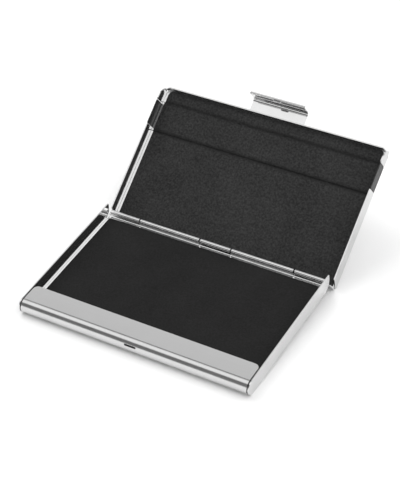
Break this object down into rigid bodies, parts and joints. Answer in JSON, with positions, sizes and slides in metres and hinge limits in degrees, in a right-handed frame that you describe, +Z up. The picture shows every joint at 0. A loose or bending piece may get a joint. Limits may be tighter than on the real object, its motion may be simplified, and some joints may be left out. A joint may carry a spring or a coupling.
{
  "type": "business card case",
  "caption": "Flat metal card case standing open: tray with a rolled front lip, hinged telescoping lid with a leather band and a front clasp.",
  "frame": {"origin": "centre of the open case's footprint box, on the surface it stands on", "axes": "+Z up, +X to the right along the hinge, +Y from the tray's front lip towards the open lid"},
  "size_m": [0.0964, 0.1134, 0.0411],
  "materials": {
    "formed_steel": "satin stainless sheet",
    "polished_steel": "polished stainless sheet",
    "hinge_steel": "polished rolled knuckles",
    "pin_steel": "drawn wire",
    "smooth_lining": "smooth matt black sheet",
    "grained_lining": "fine grained black leatherette",
    "band_leather": "black leather strap",
    "clasp_steel": "polished spring steel"
  },
  "bodies": {
    "tray": {"tray_shell": "formed_steel", "tray_end_left": "polished_steel", "tray_end_right": "polished_steel", "tray_hinge_strip": "hinge_steel", "tray_lining": "smooth_lining", "hinge_pin": "pin_steel"},
    "lid": {"lid_panel": "formed_steel", "lid_wall_left_rear": "polished_steel", "lid_wall_left_front": "polished_steel", "lid_wall_right_rear": "polished_steel", "lid_wall_right_front": "polished_steel", "lid_hinge_wall": "hinge_steel", "lid_lining": "grained_lining", "leather_band": "band_leather", "clasp": "clasp_steel"}
  },
  "joints": [
    {"name": "lid_hinge", "type": "hinge", "parent": "tray", "child": "lid", "pos_m": [0, 0.00386, 0.00578], "axis": [1, 0, 0], "range_deg": [0, 147]}
  ]
}
